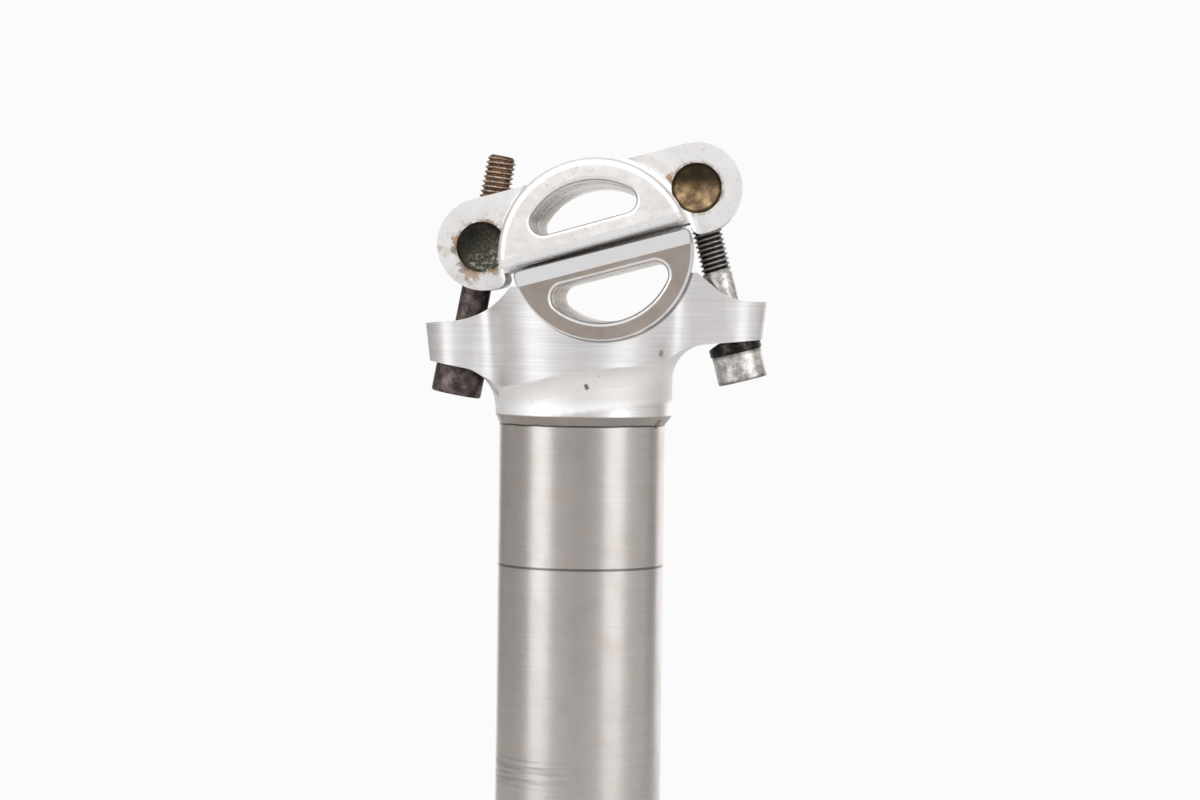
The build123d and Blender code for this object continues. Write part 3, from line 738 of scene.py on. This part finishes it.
def rusty_screw():
    """Worn black oxide on the head and shank, rust on the crests of the thread, and painted shade with
    rust in its roots.
    """
    f = Finish("screw_rusty")
    crest, way = f.attribute("crest"), f.attribute("way")
    patches = f.noise(1.6, 4.0, rough=0.65)
    oxide = f.mix(OXIDE_DARK, OXIDE_LIGHT, patches.over(0.35, 0.7))
    rust = f.mix(THREAD_DARK, THREAD_LIGHT, f.noise(0.7, 4.0, rough=0.8).over(0.35, 0.65))
    threaded = way.over(THREAD_START, THREAD_FULL)
    color = f.mix(oxide, rust, threaded)
    # The roots of the thread get painted shade, mixed with rust
    root_shade_and_rust = f.mix(ROOT_SHADE, ROOT_RUST, patches.over(0.45, 0.6))
    color = f.mix(color, root_shade_and_rust, crest.over(0.8, 0.1) * threaded)
    return f.done(color, 0.36 + 0.2 * patches, 0.9, patches * 0.04)


front_screw.data.materials.append(rusty_screw())
print("front_screw wears", front_screw.data.materials[0].name)

# %% Rear screw
ZINC_DARK, ZINC_LIGHT = (0.34, 0.33, 0.31), (0.80, 0.79, 0.77)
ZINC_SPOT, ZINC_EDGE = (0.06, 0.055, 0.05), (0.10, 0.09, 0.08)
GREASE_THIN, GREASE_THICK = (0.30, 0.29, 0.28), (0.035, 0.03, 0.03)
# Thin grease lies on the crests up to here along the screw, and thick grease in all the roots
GREASE_END = 26.0


def zinc_screw():
    """Whitish zinc with black spots and dark edges on the head, and black grease in the thread."""
    f = Finish("screw_zinc")
    crest, way = f.attribute("crest"), f.attribute("way")
    patches = f.noise(1.3, 4.0, rough=0.65)
    zinc = f.mix(ZINC_DARK, ZINC_LIGHT, patches.over(0.3, 0.65))
    spots = f.noise(0.55, 3.0, rough=0.8, shift=8.0).over(0.6, 0.7)
    color = f.mix(zinc, ZINC_SPOT, spots * 0.8)
    edges = way.over(-4.2, -4.7) + way.over(-0.9, -0.3) * way.over(0.3, 0.0)
    color = f.mix(color, ZINC_EDGE, edges * 0.6)
    grease = way.over(12.6, 14.0) * way.over(GREASE_END + 1.0, GREASE_END - 1.0)
    color = f.mix(color, GREASE_THIN, grease * 0.6)
    color = f.mix(color, GREASE_THICK, crest.over(0.6, 0.1) * way.over(THREAD_START, THREAD_FULL))
    return f.done(color, 0.3 + 0.15 * patches, 1.0, patches * 0.04)


rear_screw.data.materials.append(zinc_screw())
print("rear_screw wears", rear_screw.data.materials[0].name)

# %% [markdown]
# ## The camera
#
# The photograph was taken from the left side of the bicycle with a lens of about 100 mm. A camera is
# a place, three directions and a focal length. These were found by laying edges of the solids over
# the same edges in the photograph. Two directions are enough, since the third is square to both.

# %% Camera matched to the photograph
CAMERA_AT = (0.022579, -0.547170, 0.323559)
RIGHT = Vector((0.99925871, 0.03632972, 0.01273468))
FORWARD = Vector((-0.03592946, 0.99889294, -0.03036406))
UP = RIGHT.cross(FORWARD)
FOCAL_PIXELS, WIDTH_PIXELS, SENSOR = 3330.0, 1200.0, 36.0

camera_data = bpy.data.cameras.new("camera")
camera_data.sensor_width = SENSOR
camera_data.lens = SENSOR * FOCAL_PIXELS / WIDTH_PIXELS
camera_data.clip_start, camera_data.clip_end = 0.02, 20.0
camera = bpy.data.objects.new("camera", camera_data)
bpy.context.scene.collection.objects.link(camera)
turn = Matrix((RIGHT, UP, -FORWARD)).transposed().to_4x4()
camera.matrix_world = Matrix.Translation(CAMERA_AT) @ turn
bpy.context.scene.camera = camera
print("lens", round(camera_data.lens, 2), "mm")

# %% [markdown]
# ## Studio lights
#
# Polished metal shows its surroundings, so the lights matter as much as the finish. A tall soft light
# on each side of the camera draws the two bright stripes of the shaft. A wide and faint one round each
# of them softens its edge, and one further to each side tones the flanks. Two lights behind whiten the
# edges, and three above light what looks up. All are far away, so the floor is lit evenly.

# %% Lights
HEAD_CENTRE = Vector((0.0, 0.0, 0.30))
LIGHT_DISTANCE = 2.4


def soft_light(name, azimuth, elevation, wide, tall, radiance):
    """A rectangular light seen from the head at these angles, wide and tall in degrees.

    Its power is its radiance times its area times pi, so a radiance of 1 looks white."""
    data = bpy.data.lights.new(name, "AREA")
    data.shape = "RECTANGLE"
    data.size = 2 * LIGHT_DISTANCE * tan(radians(wide / 2))
    data.size_y = 2 * LIGHT_DISTANCE * tan(radians(tall / 2))
    data.energy = radiance * pi * data.size * data.size_y
    light = bpy.data.objects.new(name, data)
    a, e = radians(azimuth), radians(elevation)
    away = Vector((sin(a) * cos(e), -cos(a) * cos(e), sin(e)))
    light.location = HEAD_CENTRE + away * LIGHT_DISTANCE
    light.rotation_euler = (-away).to_track_quat("-Z", "Y").to_euler()
    bpy.context.scene.collection.objects.link(light)
    print(name, "is", round(data.size, 2), "by", round(data.size_y, 2), "m,", round(data.energy, 2), "W")


soft_light("left_light", azimuth=-56, elevation=4, wide=30, tall=66, radiance=1.5)
soft_light("left_fill", azimuth=-40, elevation=4, wide=64, tall=66, radiance=0.09)
soft_light("left_side_light", azimuth=-100, elevation=4, wide=56, tall=66, radiance=0.07)
soft_light("right_light", azimuth=50, elevation=4, wide=30, tall=66, radiance=1.4)
soft_light("right_fill", azimuth=45, elevation=4, wide=70, tall=66, radiance=0.09)
soft_light("right_side_light", azimuth=88, elevation=4, wide=44, tall=66, radiance=0.3)
soft_light("left_back_light", azimuth=-168, elevation=4, wide=30, tall=70, radiance=1.1)
soft_light("right_back_light", azimuth=152, elevation=4, wide=36, tall=70, radiance=1.1)
soft_light("upper_light", azimuth=0, elevation=43, wide=90, tall=60, radiance=1.1)
soft_light("upper_left_light", azimuth=-75, elevation=50, wide=50, tall=40, radiance=0.6)
soft_light("top_light", azimuth=0, elevation=88, wide=60, tall=60, radiance=0.6)

# %% [markdown]
# ## Floor and surroundings
#
# The post stands on a pale floor that keeps its shadow, and the camera sees a near-white room behind
# it. The metal is shown a dimmer and slightly warm room instead, which makes the brown stripes of the
# shaft between the lights. The world's colour is a mix of the two by the kind of ray that asks.

# %% Floor
HALF_FLOOR, FLOOR_AT = 1.5, -0.0005
FLOOR_GREY = (0.76, 0.76, 0.76)

floor_mesh = bpy.data.meshes.new("floor")
corners = [(-1, -1), (1, -1), (1, 1), (-1, 1)]
floor_points = [(HALF_FLOOR * x, HALF_FLOOR * y, FLOOR_AT) for x, y in corners]
floor_mesh.from_pydata(floor_points, [], [(0, 1, 2, 3)])
floor = bpy.data.objects.new("floor", floor_mesh)
bpy.context.scene.collection.objects.link(floor)
floor_mesh.materials.append(Finish("floor_pale").done(FLOOR_GREY, 0.9, 0.0))
print("floor is", 2 * HALF_FLOOR, "m wide")

# %% World
ROOM_TONE, SEEN_TONE = (0.37, 0.34, 0.32), (0.965, 0.965, 0.965)

world = bpy.data.worlds.new("studio")
bpy.context.scene.world = world
world.use_nodes = True
room = Web(world.node_tree)
path = room.node("ShaderNodeLightPath")
seen = Value(room, path.outputs["Is Camera Ray"]).math("MAXIMUM", path.outputs["Is Transmission Ray"])
tone = room.mix(ROOM_TONE, SEEN_TONE, seen)
background = room.node("ShaderNodeBackground", {}, {"Color": tone})
room.node("ShaderNodeOutputWorld", {}, {"Surface": background.outputs[0]})
bpy.context.scene.view_settings.view_transform = "Standard"
print("the room is", ROOM_TONE, "and the camera sees", SEEN_TONE)
